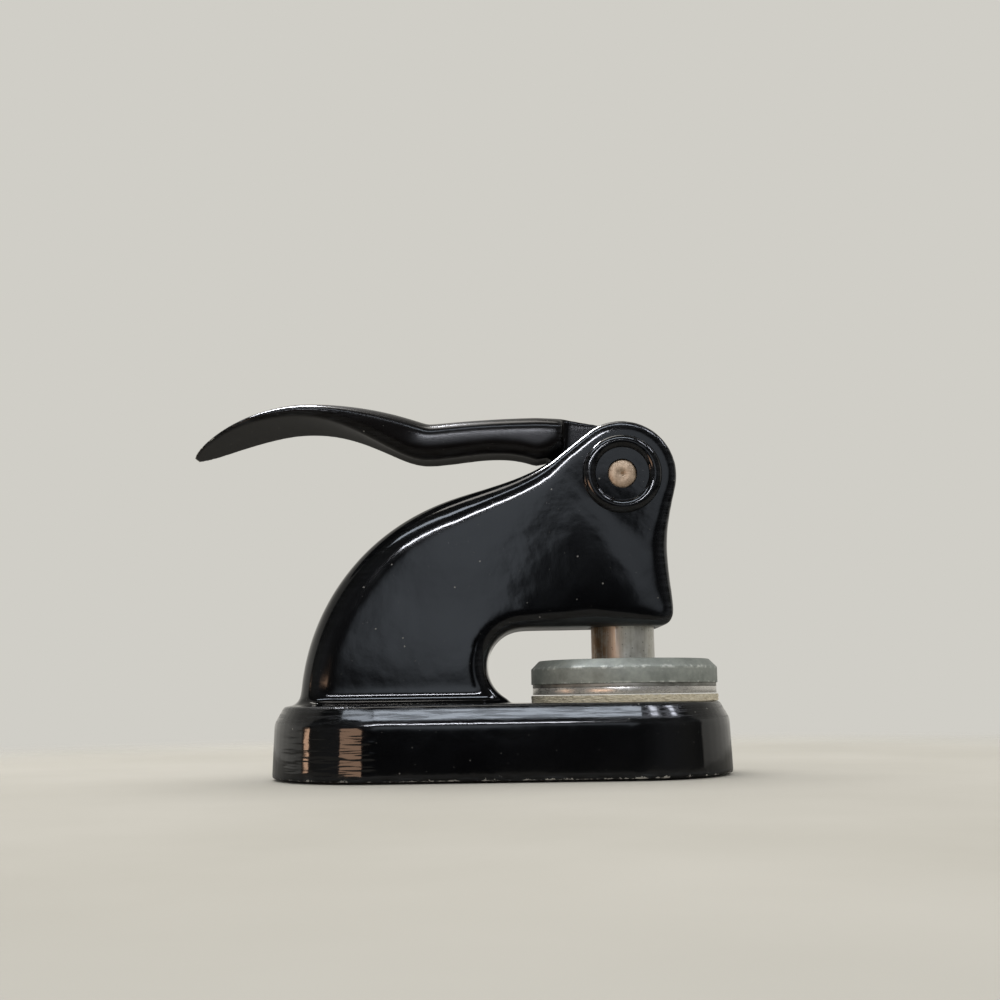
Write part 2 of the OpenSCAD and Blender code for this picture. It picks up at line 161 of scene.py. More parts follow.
def edgeWearOf(obj, reach, gain):
    # how sharply the surface turns outwards, kept at each vertex for the chipped enamel
    mesh = obj.data
    count = len(mesh.vertices)
    co, normals = np.zeros(count * 3), np.zeros(count * 3)
    mesh.vertices.foreach_get("co", co)
    mesh.vertices.foreach_get("normal", normals)
    co, normals = co.reshape(-1, 3), normals.reshape(-1, 3)
    ends = np.zeros(len(mesh.edges) * 2, dtype=np.int64)
    mesh.edges.foreach_get("vertices", ends)
    a, b = ends.reshape(-1, 2).T
    step = co[b] - co[a]
    length = np.linalg.norm(step, axis=1) + 1e-9
    turn = ((normals[b] - normals[a]) * step).sum(1) / length ** 2
    total, share = np.zeros(count), np.zeros(count)
    for end in (a, b):
        np.add.at(total, end, turn)
        np.add.at(share, end, 1)
    bend = total / np.maximum(share, 1)
    for _ in range(reach):
        total = np.zeros(count)
        np.add.at(total, a, bend[b])
        np.add.at(total, b, bend[a])
        bend = 0.5 * bend + 0.5 * total / np.maximum(share, 1)
    # faces that look down were never polished
    below = (-normals[:, 2] - undersideSlope["from"]) / undersideSlope["fade"]
    for name, values in (("edgeWear", bend * mm * gain), ("underside", below)):
        layer = mesh.attributes.new(name, "FLOAT", "POINT")
        layer.data.foreach_set("value", np.clip(values, 0, 1).astype(np.float32))


def smoothByAngle(obj):
    onlySelect(obj)
    bpy.ops.object.shade_smooth_by_angle(angle=smoothAngle)


def dress(obj, material):
    obj.data.materials.clear()
    obj.data.materials.append(material)


def finishPiece(obj, material, body, slot, *nodes):
    dress(obj, material)
    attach(obj, body)
    if nodes:
        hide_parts(*nodes)
    return obj


def linear(colour):
    # an sRGB hex colour made linear, or a plain grey level
    if not isinstance(colour, str):
        return [colour] * 3 + [1]
    channels = [int(colour[i:i + 2], 16) / 255 for i in (1, 3, 5)]
    return [c / 12.92 if c <= 0.04045 else ((c + 0.055) / 1.055) ** 2.4 for c in channels] + [1]


def addNode(tree, kind, inputs=None, output=0, stops=None, **settings):
    # an input is a number, a colour or another node's output, and stops are a colour ramp's
    node = tree.nodes.new("ShaderNode" + kind)
    for key, value in settings.items():
        setattr(node, key, value)
    for key, value in (inputs or {}).items():
        socket = node.inputs[key]
        if isinstance(value, bpy.types.NodeSocket):
            tree.links.new(value, socket)
        else:
            socket.default_value = linear(value) if socket.type == "RGBA" else value
    if stops:
        elements = node.color_ramp.elements
        while len(elements) < len(stops):
            elements.new(0.5)
        for element, (place, colour) in zip(elements, stops):
            element.position = place
            element.color = linear(colour)
    return node.outputs[output] if len(node.outputs) else node


def newMaterial(name):
    material = bpy.data.materials.new(name)
    material.use_nodes = True
    tree = material.node_tree
    place = addNode(tree, "TexCoord", output="Object")
    return material, tree, tree.nodes["Principled BSDF"], place


def specksAt(tree, place, perMm, size, keep):
    # small round spots, of which only some are kept
    cells = addNode(tree, "TexVoronoi", {"Vector": place, "Scale": perMm / mm}).node.outputs
    spot = addNode(tree, "ValToRGB", {"Fac": cells["Distance"]}, stops=[(0, 1), (size, 0)])
    lot = addNode(tree, "SeparateColor", {"Color": cells["Color"]})
    kept = addNode(tree, "Math", {0: lot, 1: 1 - keep}, operation="GREATER_THAN")
    return addNode(tree, "Math", {0: spot, 1: kept}, operation="MULTIPLY")


def streaksAt(tree, place, perMm, detail, roughness):
    # a noise drawn out, with so many turns per millimetre along x, y and z
    drawn = addNode(tree, "Mapping", {"Vector": place, "Scale": [turns / mm for turns in perMm]})
    return addNode(tree, "TexNoise", {"Vector": drawn, "Scale": 1, "Detail": detail,
                                      "Roughness": roughness})


def bandOf(tree, value, low, high, soft):
    # 1 between two places, fading out over a soft width
    rise, fall = (addNode(tree, "MapRange", {"Value": value, "From Min": zero, "From Max": full},
                          interpolation_type="SMOOTHSTEP")
                  for zero, full in ((low - soft, low), (high + soft, high)))
    return addNode(tree, "Math", {0: rise, 1: fall}, operation="MULTIPLY")


def layOver(tree, mask, strength, under, over):
    # one finish over another, where a mask says and up to a strength
    share = addNode(tree, "Math", {0: mask, 1: strength}, operation="MULTIPLY")
    return addNode(tree, "Mix", {0: share, 6: under, 7: over}, 2, data_type="RGBA")


def addLayer(tree, height, layer, amount):
    # one more layer on a height, or a cut where the amount is below zero
    part = addNode(tree, "Math", {0: layer, 1: amount}, operation="MULTIPLY")
    return addNode(tree, "Math", {0: height, 1: part}, operation="ADD")


def blendOf(tree, first, second, share):
    # a share of one pattern and the rest of another
    part = addNode(tree, "Math", {0: first, 1: share}, operation="MULTIPLY")
    return addLayer(tree, part, second, 1 - share)


# Stoved enamel on cast iron: a thick black coat, sprayed on the rough casting and baked. To the eye
# it is near black and mirrors the room, its mirrored lights waver over the casting's skin, hands
# and cloths leave a streaky film on its edges, dust lies on it, and corners are chipped pale.
stovedEnamel = {
    "colour": "#040405", "hazed": "#08090b", "rough": (0.07, 0.13),
    "coat": 0.3, "coatRough": 0.05, "specular": 0.5,
    "haze": {"Scale": 0.05 / mm, "Detail": 3, "Roughness": 0.6},               # clouds of 20 mm
    "chip": "#a9a7a1", "chipFrom": 0.66, "chipEdge": 0.03, "chipWear": 0.6, "chipDepth": 4,
    "chipPatches": {"Scale": 0.35 / mm, "Detail": 2, "Roughness": 0.6},        # 3 mm across
    "chipCrumbs": {"Scale": 2.2 / mm, "Detail": 4, "Roughness": 0.65},         # 0.5 mm across
    "dust": "#9c9a94", "dustShare": 0.8,
    # specks per millimetre, their radius in their cell and how many are kept; real dust is finer,
    # and is drawn as coarse as it needs to show
    "dustSpecks": ((0.34, 0.085, 0.5), (0.9, 0.07, 0.25)),
    "film": "#4b4f55", "filmShare": 0.3, "filmRough": 0.26, "filmHeight": 0.35,
    "filmStreaks": ((0.16, 0.16, 1.5), 4, 0.7),                                # 6 mm by 0.7 mm
    "spottedRough": 0.5, "undersideRough": 0.42,
    "peel": {"Scale": 1 / (2.4 * mm), "Detail": 2, "Roughness": 0.4},          # orange peel, 2.4 mm
    "waves": {"Scale": 0.12 / mm, "Detail": 1, "Roughness": 0.5},              # the casting, 8 mm
    "waveHeight": 5, "bump": 0.012 * mm,
    # rubbed streaks along the base's bevel, from and to below its top
    "rubbedBand": (3.4 * mm, 0.2 * mm, 0.5 * mm), "rubs": ((0.09, 0.09, 1.9), 6, 0.72),
    "rubShare": 0.8, "rubRough": 0.4,
    # fine ripples on the left end of the base, below the bevel
    "rippledX": (-44 * mm, -29 * mm, 4 * mm), "rippledBelow": 4.5 * mm, "rippledSoft": 1 * mm,
    "ripples": ((0.11, 0.11, 0.9), 1, 0.55), "rippleHeight": 10,
}

# The same enamel on the lever, worn by the hand to a browner and softer shine.
leverEnamel = dict(stovedEnamel, colour="#050505", hazed="#110d0c", rough=(0.14, 0.26),
                   coat=0.0, specular=0.28, chipFrom=0.74)


def enamelMaterial(name, look):
    material, tree, shader, place = newMaterial(name)
    x, _, z = addNode(tree, "SeparateXYZ", {"Vector": place}).node.outputs
    wear = addNode(tree, "Attribute", output="Fac", attribute_name="edgeWear")
    under = addNode(tree, "Attribute", output="Fac", attribute_name="underside")

    # chips only where the casting turns a corner, broken up by two sizes of noise
    patches = addNode(tree, "TexNoise", {"Vector": place, **look["chipPatches"]})
    crumbs = addNode(tree, "TexNoise", {"Vector": place, **look["chipCrumbs"]})
    broken = addNode(tree, "Math", {0: patches, 1: crumbs}, operation="MULTIPLY")
    chipped = addLayer(tree, broken, wear, look["chipWear"])
    chips = addNode(tree, "ValToRGB", {"Fac": chipped},
                    stops=[(look["chipFrom"], 0), (look["chipFrom"] + look["chipEdge"], 1)])
    large, small = (specksAt(tree, place, *specks) for specks in look["dustSpecks"])
    dusty = addNode(tree, "Math", {0: large, 1: small}, operation="MAXIMUM")
    spotted = addNode(tree, "Math", {0: dusty, 1: chips}, operation="MAXIMUM")

    # a streaky film where cloths and hands rub the edges
    streaks = streaksAt(tree, place, *look["filmStreaks"])
    streaks = addNode(tree, "ValToRGB", {"Fac": streaks}, stops=[(0.42, 0), (0.7, 1)])
    edges = addNode(tree, "ValToRGB", {"Fac": wear}, stops=[(0.04, 0), (0.3, 1)])
    film = addNode(tree, "Math", {0: streaks, 1: edges}, operation="MULTIPLY")

    haze = addNode(tree, "TexNoise", {"Vector": place, **look["haze"]})
    colour = addNode(tree, "Mix", {0: haze, 6: look["colour"], 7: look["hazed"]}, 2,
                     data_type="RGBA")
    colour = layOver(tree, film, look["filmShare"], colour, look["film"])
    colour = layOver(tree, dusty, look["dustShare"], colour, look["dust"])
    colour = addNode(tree, "Mix", {0: chips, 6: colour, 7: look["chip"]}, 2, data_type="RGBA")
    tree.links.new(colour, shader.inputs["Base Color"])

    # the shine: hazed, filmed, rubbed along the bevel, dull below and on chips and dust
    low, high = look["rough"]
    finish = addNode(tree, "ValToRGB", {"Fac": haze}, stops=[(0.3, low), (0.7, high)])
    finish = addNode(tree, "Mix", {0: film, 6: finish, 7: look["filmRough"]}, 2, data_type="RGBA")
    deep, shallow, soft = look["rubbedBand"]
    bevel = bandOf(tree, z, baseTop - deep, baseTop - shallow, soft)
    rubs = addNode(tree, "ValToRGB", {"Fac": streaksAt(tree, place, *look["rubs"])},
                   stops=[(0.47, 0), (0.56, 1)])
    rubbed = addNode(tree, "Math", {0: bevel, 1: rubs}, operation="MULTIPLY")
    finish = layOver(tree, rubbed, look["rubShare"], finish, look["rubRough"])
    for mask, rough in ((under, look["undersideRough"]), (spotted, look["spottedRough"])):
        finish = addNode(tree, "Mix", {0: mask, 6: finish, 7: rough}, 2, data_type="RGBA")
    tree.links.new(finish, shader.inputs["Roughness"])
    shader.inputs["Coat Weight"].default_value = look["coat"]
    shader.inputs["Coat Roughness"].default_value = look["coatRough"]
    shader.inputs["Specular IOR Level"].default_value = look["specular"]

    # the skin: orange peel on the casting's waves, film, chips and the rippled end
    peel = addNode(tree, "TexNoise", {"Vector": place, **look["peel"]})
    waves = addNode(tree, "TexNoise", {"Vector": place, **look["waves"]})
    height = addLayer(tree, peel, waves, look["waveHeight"])
    height = addLayer(tree, height, film, look["filmHeight"])
    height = addLayer(tree, height, chips, -look["chipDepth"])
    across = bandOf(tree, x, *look["rippledX"])
    below = bandOf(tree, z, -1, baseTop - look["rippledBelow"], look["rippledSoft"])
    corner = addNode(tree, "Math", {0: across, 1: below}, operation="MULTIPLY")
    ripples = streaksAt(tree, place, *look["ripples"])
    ripples = addNode(tree, "Math", {0: corner, 1: ripples}, operation="MULTIPLY")
    height = addLayer(tree, height, ripples, look["rippleHeight"])
    bump = addNode(tree, "Bump", {"Height": height, "Strength": 1, "Distance": look["bump"]})
    tree.links.new(bump, shader.inputs["Normal"])
    tree.links.new(bump, shader.inputs["Coat Normal"])
    return material


# What the metals share. Patch is the width of their clouds, grain is how many lines they have per
# millimetre along x, y and z, and pits is the share of their cells that has a pit. Real tool lines
# are finer than these, which are as coarse as they need to show.
bareMetal = {"metallic": 1.0, "bump": 0.01 * mm, "spots": "#2a1f18", "patchShare": 0.65,
             "pitsPerMm": 1.3, "pitRadius": 0.28, "pitShare": 0.8, "pitDepth": 2}

# Turned steel that has browned with age: a warm, dull end face, pitted all over, with no shine.
brownedSteel = dict(bareMetal, light="#dcc5ab", dark="#a68f77", rough=(0.45, 0.62), metallic=0.7,
                    patch=1.6 * mm, grain=(1.5, 1.5, 1.5), pits=0.25, spots="#4d3a2b")

# Turned steel inside the press: lathe marks, and a brown film that leaves it half bright.
turnedSteel = dict(bareMetal, light="#8f8678", dark="#5c5046", rough=(0.3, 0.5),
                   patch=2.5 * mm, grain=(0.6, 4, 0.6), pits=0.15)

# Ground steel bar: pale and fairly bright, with fine lines along it, browned towards the throat,
# where no hand or oil reaches it. Rust starts and is full so far from the axis.
groundSteel = dict(bareMetal, light="#dddcd6", dark="#b5b2a8", rough=(0.3, 0.46), metallic=0.65,
                   patch=3.5 * mm, grain=(2.2, 2.2, 0.12), pits=0.35,
                   rust="#86684a", rustFrom=0.2 * mm, rustTo=5 * mm)

# Zinc die casting, left bare: a soft matte grey with a grainy skin, bright where edges are knocked.
dieCastZinc = dict(bareMetal, light="#a3a8a2", dark="#868c87", rough=(0.5, 0.66), metallic=0.45,
                   patch=4 * mm, grain=(0.8, 0.8, 0.8), pits=0.06, spots="#bcc0bb",
                   bump=0.03 * mm, knock="#e2e5e0", knockWidth=0.5 * mm, knockShare=0.75,
                   knocks={"Scale": 0.55 / mm, "Detail": 4, "Roughness": 0.7},
                   knockedAt=(holderLow.z, holderHigh.z - 1.8 * mm))

# Rolled sheet: an even dull grey with faint lines of the rollers.
rolledSheet = dict(bareMetal, light="#b3b3ae", dark="#85857f", rough=(0.4, 0.6), metallic=0.8,
                   patch=3 * mm, grain=(0.4, 0.4, 3), pits=0.1)

# Turned and polished die metal: the brightest piece, with fine rings of the tool on its rim.
turnedDie = dict(bareMetal, light="#dedcd7", dark="#c2bfb9", rough=(0.2, 0.34), metallic=0.65,
                 patch=4 * mm, grain=(0.5, 0.5, 6), pits=0.05)


def metalMaterial(name, look):
    material, tree, shader, place = newMaterial(name)
    patches = addNode(tree, "TexNoise", {"Vector": place, "Scale": 1 / look["patch"], "Detail": 4,
                                         "Roughness": 0.6})
    lines = streaksAt(tree, place, look["grain"], 3, 0.6)
    blend = blendOf(tree, patches, lines, look["patchShare"])
    colour = addNode(tree, "ValToRGB", {"Fac": blend},
                     stops=[(0.36, look["dark"]), (0.62, look["light"])])
    if "rust" in look:
        x = addNode(tree, "SeparateXYZ", {"Vector": place}, "X")
        side = addNode(tree, "MapRange", {"Value": x, "From Min": axisX - look["rustFrom"],
                                          "From Max": axisX - look["rustTo"]})
        uneven = addNode(tree, "ValToRGB", {"Fac": blend}, stops=[(0.35, 0.3), (0.5, 1)])
        stain = addNode(tree, "Math", {0: side, 1: uneven}, operation="MULTIPLY")
        colour = addNode(tree, "Mix", {0: stain, 6: colour, 7: look["rust"]}, 2, data_type="RGBA")
    if "knock" in look:
        # knocked edges, each at its own height
        z = addNode(tree, "SeparateXYZ", {"Vector": place}, "Z")
        bands = 0
        for edgeZ in look["knockedAt"]:
            gap = addNode(tree, "Math", {0: z, 1: edgeZ}, operation="SUBTRACT")
            gap = addNode(tree, "Math", {0: gap}, operation="ABSOLUTE")
            gap = addNode(tree, "Math", {0: gap, 1: look["knockWidth"]}, operation="DIVIDE")
            band = addNode(tree, "ValToRGB", {"Fac": gap}, stops=[(0.25, 1), (1, 0)])
            bands = addNode(tree, "Math", {0: bands, 1: band}, operation="MAXIMUM")
        here = addNode(tree, "TexNoise", {"Vector": place, **look["knocks"]})
        here = addNode(tree, "ValToRGB", {"Fac": here}, stops=[(0.5, 0), (0.62, 1)])
        knocks = addNode(tree, "Math", {0: bands, 1: here}, operation="MULTIPLY")
        colour = layOver(tree, knocks, look["knockShare"], colour, look["knock"])
    pitted = specksAt(tree, place, look["pitsPerMm"], look["pitRadius"], look["pits"])
    colour = layOver(tree, pitted, look["pitShare"], colour, look["spots"])
    low, high = look["rough"]
    finish = addNode(tree, "ValToRGB", {"Fac": blend}, stops=[(0.3, low), (0.7, high)])
    height = addLayer(tree, lines, patches, 0.5)
    height = addLayer(tree, height, pitted, -look["pitDepth"])
    bump = addNode(tree, "Bump", {"Height": height, "Strength": 0.8, "Distance": look["bump"]})
    for socket, source in (("Base Color", colour), ("Roughness", finish), ("Normal", bump)):
        tree.links.new(source, shader.inputs[socket])
    shader.inputs["Metallic"].default_value = look["metallic"]
    return material


# Pressed fibre board with a sawn edge: pale tan layers, torn to light and dark fibres, quite matt.
fibreLook = {
    "colours": [(0.3, "#938a74"), (0.45, "#c2b9a2"), (0.58, "#dad3c0"), (0.75, "#eeeade")],
    "layers": ((0.9, 0.9, 7), 5, 0.7), "layerShare": 0.6,                      # 0.15 mm thick
    "fibres": {"Scale": 1.6 / mm, "Detail": 5, "Roughness": 0.7, "Distortion": 1.5},
    "rough": 0.88, "bump": 0.12 * mm,
}


def fibreMaterial(name, look):
    material, tree, shader, place = newMaterial(name)
    layers = streaksAt(tree, place, *look["layers"])
    fibres = addNode(tree, "TexNoise", {"Vector": place, **look["fibres"]})
    blend = blendOf(tree, layers, fibres, look["layerShare"])
    colour = addNode(tree, "ValToRGB", {"Fac": blend}, stops=look["colours"])
    bump = addNode(tree, "Bump", {"Height": blend, "Strength": 1, "Distance": look["bump"]})
    tree.links.new(colour, shader.inputs["Base Color"])
    tree.links.new(bump, shader.inputs["Normal"])
    shader.inputs["Roughness"].default_value = look["rough"]
    return material


# Moulded rubber sheet: dark grey and dull, with the fine grain of its mould.
rubberLook = {
    "colours": [(0.3, "#1c1c1b"), (0.7, "#333331")], "rough": [(0.3, 0.6), (0.7, 0.8)],
    "grain": {"Scale": 2.5 / mm, "Detail": 4, "Roughness": 0.6}, "bump": 0.05 * mm,
}


def rubberMaterial(name, look):
    material, tree, shader, place = newMaterial(name)
    grain = addNode(tree, "TexNoise", {"Vector": place, **look["grain"]})
    colour = addNode(tree, "ValToRGB", {"Fac": grain}, stops=look["colours"])
    finish = addNode(tree, "ValToRGB", {"Fac": grain}, stops=look["rough"])
    bump = addNode(tree, "Bump", {"Height": grain, "Strength": 0.7, "Distance": look["bump"]})
    for socket, source in (("Base Color", colour), ("Roughness", finish), ("Normal", bump)):
        tree.links.new(source, shader.inputs[socket])
    return material


enamel = enamelMaterial("stovedEnamel", stovedEnamel)
enamelOnLever = enamelMaterial("stovedEnamelLever", leverEnamel)
pinSteel = metalMaterial("brownedSteel", brownedSteel)
innerSteel = metalMaterial("turnedSteel", turnedSteel)
ramSteel = metalMaterial("groundSteel", groundSteel)
holderZinc = metalMaterial("dieCastZinc", dieCastZinc)
backingSheet = metalMaterial("rolledSheet", rolledSheet)
dieMetal = metalMaterial("turnedDieMetal", turnedDie)
fibreBoard = fibreMaterial("fibreBoard", fibreLook)
rubber = rubberMaterial("padRubber", rubberLook)
print("materials ready")


# raised rings round the pin, with a flat plate inside each
ringSizes = {
    "radius": 7.35 * mm, "half": 1.5 * mm, "proud": 1.33 * mm, "around": 160, "across": 40,
    "plateLift": 0.06 * mm, "plate": 0.3 * mm, "pinGap": 0.12 * mm, "wear": (2, 0.5),
    "earFace": (pinHigh.y - pinLow.y) / 2 - 0.1 * mm, "earFlatTo": 9.2 * mm,
}

# the casting of base, neck and head; pairs say where softening starts and where it is full, in mm
frameCasting = {
    "voxel": 0.54 * mm, "rounds": 34, "settle": 5, "wear": (3, 1.1),
    "neckZ": (17.2, 20.0), "fromEars": (12.5, 16.5), "fromRings": (9.1, 10.2),
    "fromBore": (7.5, 8.6), "headX": 12, "headZ": (35.5, 39), "frontX": (33, 35.5),
    "earShare": 0.2, "headShare": 0.5, "frontLoss": 0.25, "least": 0.06,
}

# the casting of thumb piece and bar; the thumb piece is all that lies left of thumbTo
leverCasting = {
    "voxel": 0.42 * mm, "rounds": 22, "settle": 4, "wear": (2, 0.6),
    "fromPin": (13, 16), "thumbTo": -24 * mm, "thumbLevels": 2,
}


def fromPinMm(x, z):
    return np.hypot(x - pinCentre.x / mm, z - pinCentre.z / mm)


def frameSoftness(p):
    # full softness on the neck's skin, less on the ears and the head's edges, little on the base
    sizes = frameCasting
    x, y, z = p.T
    neck = step01(z, *sizes["neckZ"])
    ears = sizes["earShare"] + (1 - sizes["earShare"]) * step01(fromPinMm(x, z), *sizes["fromEars"])
    rings = step01(fromPinMm(x, z), *sizes["fromRings"])
    bore = step01(np.hypot(x - axisX / mm, y), *sizes["fromBore"])
    head = sizes["headShare"] + (1 - sizes["headShare"]) * step01(z, *sizes["headZ"])
    head = np.where(x > sizes["headX"], head, 1)
    front = 1 - sizes["frontLoss"] * step01(x, *sizes["frontX"])
    return np.clip(neck * ears * rings * bore * head * front + sizes["least"], 0, 1)


def leverSoftness(p):
    x, _, z = p.T
    return step01(fromPinMm(x, z), *leverCasting["fromPin"])


def flattenEars(obj):
    # the rings round the pin are a piece of their own, so the ears stay flat under them
    for vertex in obj.data.vertices:
        x, y, z = vertex.co
        near = math.hypot(x - pinCentre.x, z - pinCentre.z) < ringSizes["earFlatTo"]
        if near and abs(y) > ringSizes["earFace"]:
            vertex.co.y = math.copysign(ringSizes["earFace"], y)


def softenThumb(obj):
    # the thumb piece is subdivided to smooth curves, the rest keeps its form
    mesh = obj.data
    layer = mesh.attributes.new("crease_edge", "FLOAT", "EDGE")
    for edge, crease in zip(mesh.edges, layer.data):
        ends = [mesh.vertices[i].co.x for i in edge.vertices]
        crease.value = 0.0 if max(ends) < leverCasting["thumbTo"] else 1.0
    applyModifier(obj, "SUBSURF", levels=leverCasting["thumbLevels"])


def makeCasting(node, name, sizes, prepare, softness):
    # the CAD casting with the soft edges that sand and enamel leave
    obj = nodeCopy(node, name)
    prepare(obj)
    applyModifier(obj, "REMESH", mode="VOXEL", voxel_size=sizes["voxel"], adaptivity=0)
    softGroup(obj, softness)
    applyModifier(obj, "SMOOTH", factor=0.5, iterations=sizes["rounds"], vertex_group="soft")
    applyModifier(obj, "SMOOTH", factor=0.5, iterations=sizes["settle"])
    obj.vertex_groups.clear()
    onlySelect(obj)
    bpy.ops.object.shade_smooth()
    edgeWearOf(obj, *sizes["wear"])
    return obj


castingFrame = makeCasting("frame", "castingFrame", frameCasting, flattenEars, frameSoftness)
finishPiece(castingFrame, enamel, "frame", "enamel", "frame")
print("frame casting", len(castingFrame.data.polygons))
castingLever = makeCasting("lever", "castingLever", leverCasting, softenThumb, leverSoftness)
finishPiece(castingLever, enamelOnLever, "lever", "enamel_lever", "lever")
print("lever casting", len(castingLever.data.polygons))


def makeRings():
    sizes = ringSizes
    parts = []
    for side in (-1, 1):
        place = Vector((pinCentre.x, side * sizes["earFace"], pinCentre.z))
        bpy.ops.mesh.primitive_torus_add(
            major_segments=sizes["around"], minor_segments=sizes["across"],
            major_radius=sizes["radius"], minor_radius=sizes["half"],
            rotation=(math.pi / 2, 0, 0), location=place)
        ring = bpy.context.active_object
        ring.scale = (1, 1, sizes["proud"] / sizes["half"])
        parts.append(freeze(ring, "pinRings"))
        edgeWearOf(ring, *sizes["wear"])
        # the flat inside the ring, with a clean hole for the pin
        place.y += side * sizes["plateLift"]
        bpy.ops.mesh.primitive_circle_add(
            vertices=sizes["around"], radius=sizes["radius"], fill_type="NGON",
            rotation=(side * math.pi / 2, 0, 0), location=place)
        flat = freeze(bpy.context.active_object, "pinRings")
        pick(flat, "FACE", lambda face: True)
        pinRadius = (pinHigh.x - pinLow.x) / 2
        bpy.ops.mesh.inset(thickness=sizes["radius"] - pinRadius - sizes["pinGap"])
        bpy.ops.mesh.delete(type="FACE")
        bpy.ops.object.mode_set(mode="OBJECT")
        applyModifier(flat, "SOLIDIFY", thickness=sizes["plate"], offset=-1)
        parts.append(flat)
    onlySelect(parts[0])
    for part in parts[1:]:
        part.select_set(True)
    bpy.ops.object.join()
    obj = bpy.context.active_object
    smoothByAngle(obj)
    return finishPiece(obj, enamel, "frame", "enamel")


print("made", makeRings().name)


def discOver(name, node, segments):
    # a round blank with the size and place of a CAD node
    low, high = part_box(node)
    bpy.ops.mesh.primitive_cylinder_add(vertices=segments, radius=(high.x - low.x) / 2,
                                        depth=high.z - low.z, location=(low + high) / 2)
    return freeze(bpy.context.active_object, name)


holderSizes = {"segments": 192, "chamfer": 1.8 * mm, "edge": 0.12 * mm}


def makeHolder():
    obj = discOver("dieHolder", "die_holder", holderSizes["segments"])
    topFrom = holderHigh.z - 0.01 * mm
    pick(obj, "EDGE", lambda edge: heightsOf(obj, edge)[0] > topFrom)
    bpy.ops.mesh.bevel(offset=holderSizes["chamfer"], segments=1)
    bpy.ops.object.mode_set(mode="OBJECT")
    bevelCorners(obj, holderSizes["edge"], 3, 25)
    smoothByAngle(obj)
    return finishPiece(obj, holderZinc, "ram", "holder_zinc", "die_holder")


backingSizes = {"segments": 192, "edge": 0.12 * mm}


def makeBacking():
    obj = discOver("dieBacking", "die_backing", backingSizes["segments"])
    bevelCorners(obj, backingSizes["edge"], 2, 60)
    smoothByAngle(obj)
    return finishPiece(obj, backingSheet, "ram", "backing_metal", "die_backing")


dieSizes = {
    "segments": 192, "edge": 0.07 * mm, "border": 1.6 * mm, "ringWidth": 0.5 * mm,
    "ringDepth": 0.15 * mm,
}


def makeDie():
    obj = discOver("dieDisc", "die", dieSizes["segments"])
    # a plain raised border and one turned ring on the face that looks down
    pick(obj, "FACE", lambda face: face.normal.z < -0.9)
    bpy.ops.mesh.inset(thickness=dieSizes["border"])
    for way in (1, -1):
        bpy.ops.mesh.extrude_region_move(
            TRANSFORM_OT_translate={"value": (0, 0, way * dieSizes["ringDepth"])})
        bpy.ops.mesh.inset(thickness=dieSizes["ringWidth"])
    bpy.ops.object.mode_set(mode="OBJECT")
    bevelCorners(obj, dieSizes["edge"], 2, 60)
    smoothByAngle(obj)
    return finishPiece(obj, dieMetal, "ram", "die_metal", "die")


# clouds are the size of the torn places and how far they reach, as a share of fray
boardSizes = {
    "segments": 360, "layers": 9, "fray": 0.5 * mm, "blank": 0.994, "firmBelow": 0.02 * mm,
    "clouds": ((0.9 * mm, 1.1), (0.25 * mm, 1.3)), "middle": 0.55,
}


def makeBoard():
    obj = discOver("counterBoard", "counter_board", boardSizes["segments"])

    def upright(edge):
        low, high = heightsOf(obj, edge)
        return high - low > 0.1 * mm

    # a little small about its own axis, as room for the frayed fibres
    obj.scale = (boardSizes["blank"], boardSizes["blank"], 1)
    obj.location = (axisX * (1 - boardSizes["blank"]), 0, 0)
    freeze(obj, "counterBoard")
    pick(obj, "EDGE", upright)
    bpy.ops.mesh.subdivide(number_cuts=boardSizes["layers"])
    bpy.ops.object.mode_set(mode="OBJECT")
    rim = obj.vertex_groups.new(name="rim")
    torn = [v.index for v in obj.data.vertices if v.co.z > boardLow.z + boardSizes["firmBelow"]]
    rim.add(torn, 1.0, "REPLACE")
    for size, reach in boardSizes["clouds"]:
        cloud = bpy.data.textures.new("fibreCloud", "CLOUDS")
        cloud.noise_scale = size
        cloud.noise_depth = 2
        applyModifier(obj, "DISPLACE", texture=cloud, texture_coords="LOCAL", direction="NORMAL",
                      mid_level=boardSizes["middle"], strength=boardSizes["fray"] * reach,
                      vertex_group="rim")
    obj.vertex_groups.clear()
    for vertex in obj.data.vertices:
        vertex.co.z = min(vertex.co.z, boardHigh.z)
    smoothByAngle(obj)
    return finishPiece(obj, fibreBoard, "frame", "fibre_board", "counter_board")


def makeRam():
    obj = nodeCopy("ram", "ramBar")
    smoothByAngle(obj)
    return finishPiece(obj, ramSteel, "ram", "ram_steel", "ram")


def makePin():
    obj = nodeCopy("lever_pin", "leverPin")
    smoothByAngle(obj)
    return finishPiece(obj, pinSteel, "frame", "pin_steel", "lever_pin")


padSizes = {"edge": 0.3 * mm}


def makePad():
    obj = nodeCopy("base_pad", "basePad")
    bevelCorners(obj, padSizes["edge"], 3, 60)
    smoothByAngle(obj)
    return finishPiece(obj, rubber, "frame", "pad_rubber", "base_pad")


for make in (makeHolder, makeBacking, makeDie, makeBoard, makeRam, makePin, makePad):
    print("made", make().name)

# small metal nodes inside the press keep their CAD mesh
for nodeName in ("lever_spacers", "ram_cross_pin", "die_holder_screw", "die_dowels",
                 "counter_dowels"):
    dress(frame["nodes"][nodeName], innerSteel)
print("inner nodes dressed")


# Woven cotton sheet: pale and quite matt, with broad clouds of light and shade. The press stands
# over its own shade, so the sheet's colour is darkened in mirrored images: painted shade. It fades
# into the backdrop.
floorLook = {
    # mirrored is the share of the sheet's colour that glossy rays still see, the rest is painted
    # shade
    "sheet": "#d0cec7", "sheetLow": "#c6c4bc", "mirrored": 0.3, "rough": 0.95, "specular": 0.05,
    "clouds": {"Scale": 0.012 / mm, "Detail": 4, "Roughness": 0.5},            # 80 mm across
    "radius": 0.5, "below": 0.02 * mm, "fadeFrom": 0.15, "fadeTo": 0.34,
}


